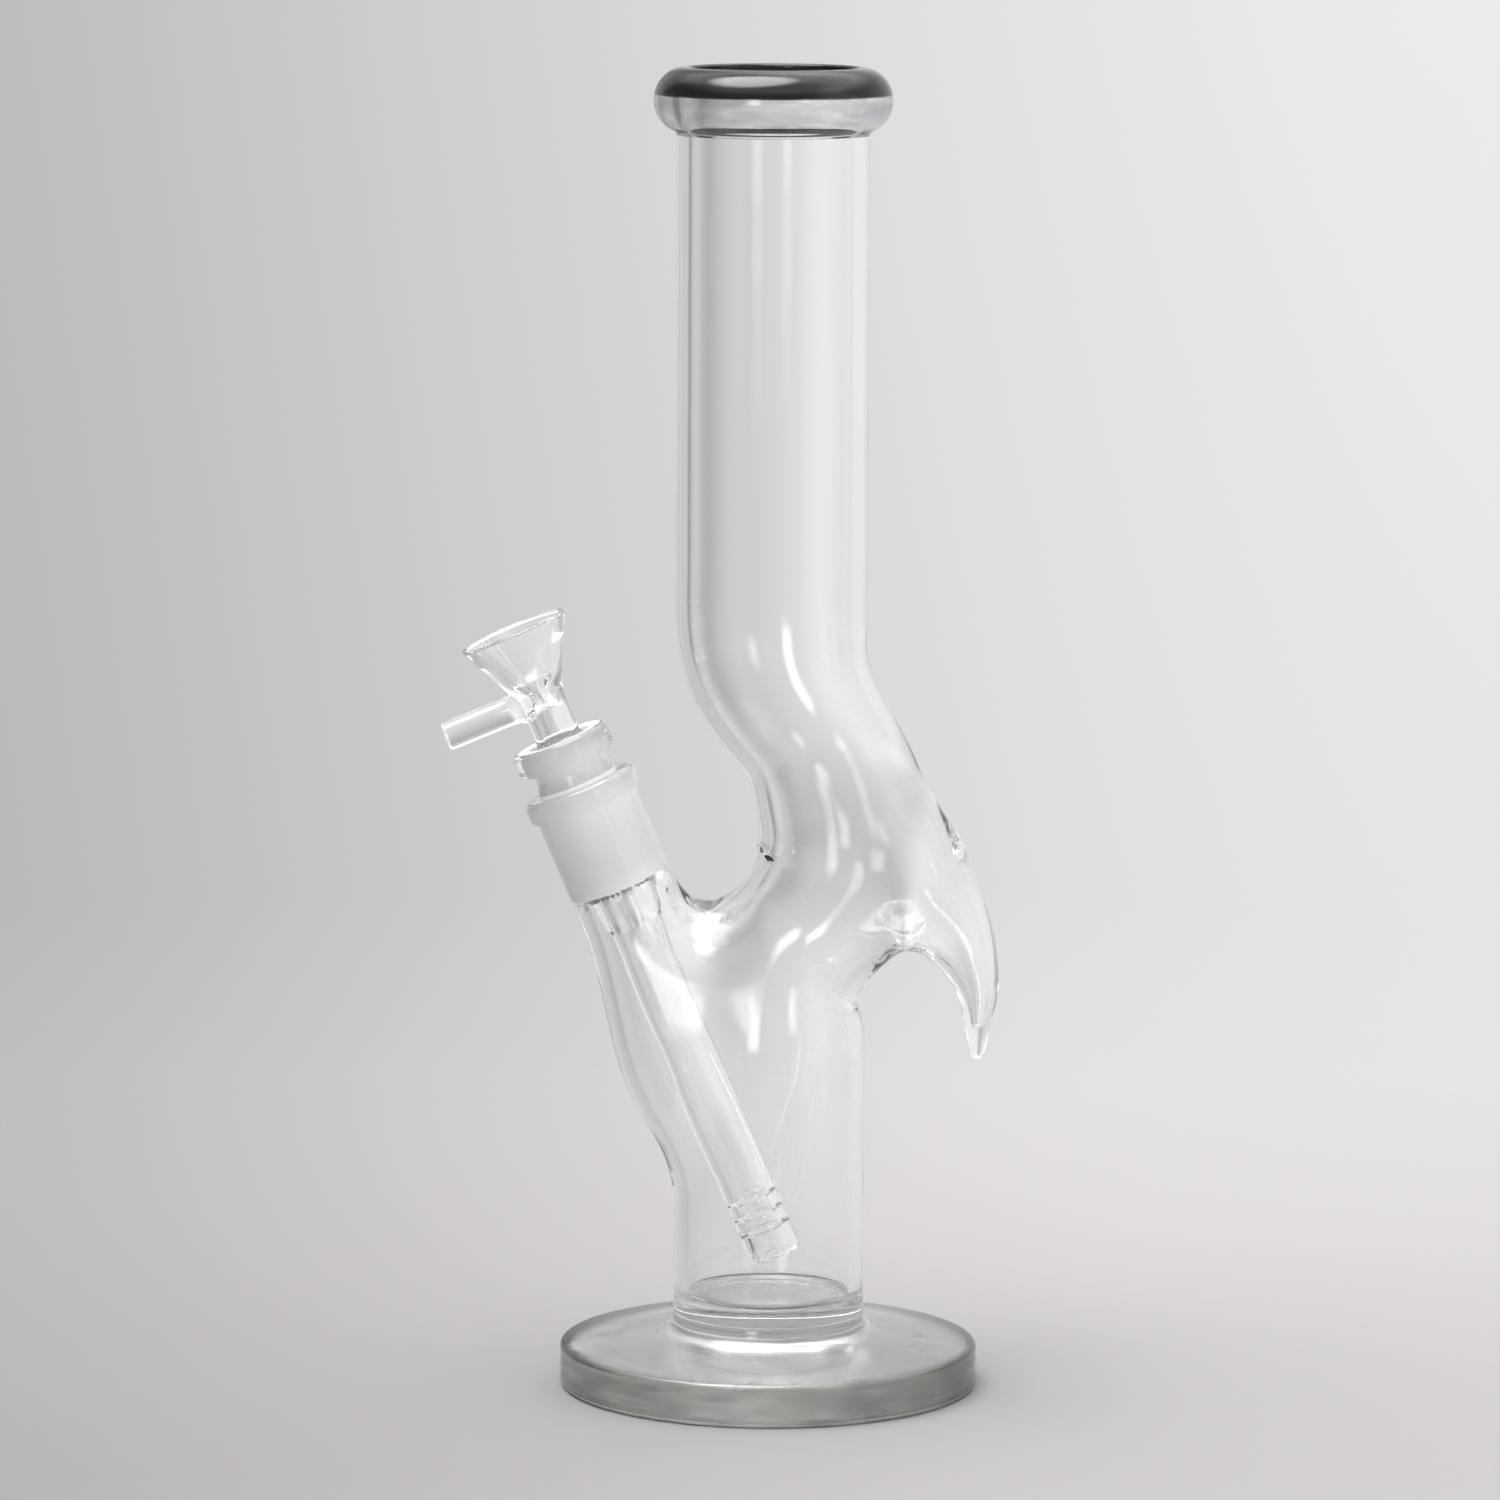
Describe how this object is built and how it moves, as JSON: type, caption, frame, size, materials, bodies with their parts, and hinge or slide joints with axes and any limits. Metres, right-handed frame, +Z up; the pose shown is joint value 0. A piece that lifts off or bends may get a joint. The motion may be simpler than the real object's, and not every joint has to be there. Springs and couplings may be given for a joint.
{
  "type": "bent-neck glass water pipe",
  "caption": "Clear glass water pipe with a bent neck, pulled horn, tinted lip and foot, and a ground-joint downstem and funnel bowl that pull out and turn.",
  "frame": {"origin": "middle of the foot's flat underside, under the neck", "axes": "+Z up along the neck, -X towards the branch and bowl, +X towards the horn, y = 0 is the plane of symmetry"},
  "size_m": [0.1304, 0.0982, 0.3095],
  "materials": {
    "clear_glass": "fire-polished clear borosilicate glass",
    "smoke_glass": "fire-polished smoke-grey tinted glass",
    "ground_glass": "clear glass with a white ground surface on the taper"
  },
  "bodies": {
    "pipe_body": {"foot_disc": "clear_glass", "foot_rim_ring": "smoke_glass", "bend_body": "clear_glass", "neck_tube": "clear_glass", "lip_ring": "smoke_glass", "joint_socket": "ground_glass"},
    "downstem_plug": {"downstem_joint": "ground_glass"},
    "downstem": {"downstem_tube": "clear_glass"},
    "bowl_plug_body": {"bowl_plug": "ground_glass"},
    "bowl": {"bowl_funnel": "clear_glass", "bowl_handle": "clear_glass"}
  },
  "joints": [
    {"name": "downstem_pull", "type": "slide", "parent": "pipe_body", "child": "downstem_plug", "axis": [-0.3875, 0, 0.9219], "range_m": [0, 0.125]},
    {"name": "downstem_turn", "type": "hinge", "parent": "downstem_plug", "child": "downstem", "pos_m": [-0.035, 0, 0.1186], "axis": [-0.3875, 0, 0.9219], "continuous": true},
    {"name": "bowl_pull", "type": "slide", "parent": "downstem", "child": "bowl_plug_body", "axis": [-0.3875, 0, 0.9219], "range_m": [0, 0.022]},
    {"name": "bowl_turn", "type": "hinge", "parent": "bowl_plug_body", "child": "bowl", "pos_m": [-0.04953, 0, 0.15317], "axis": [-0.3875, 0, 0.9219], "continuous": true}
  ]
}
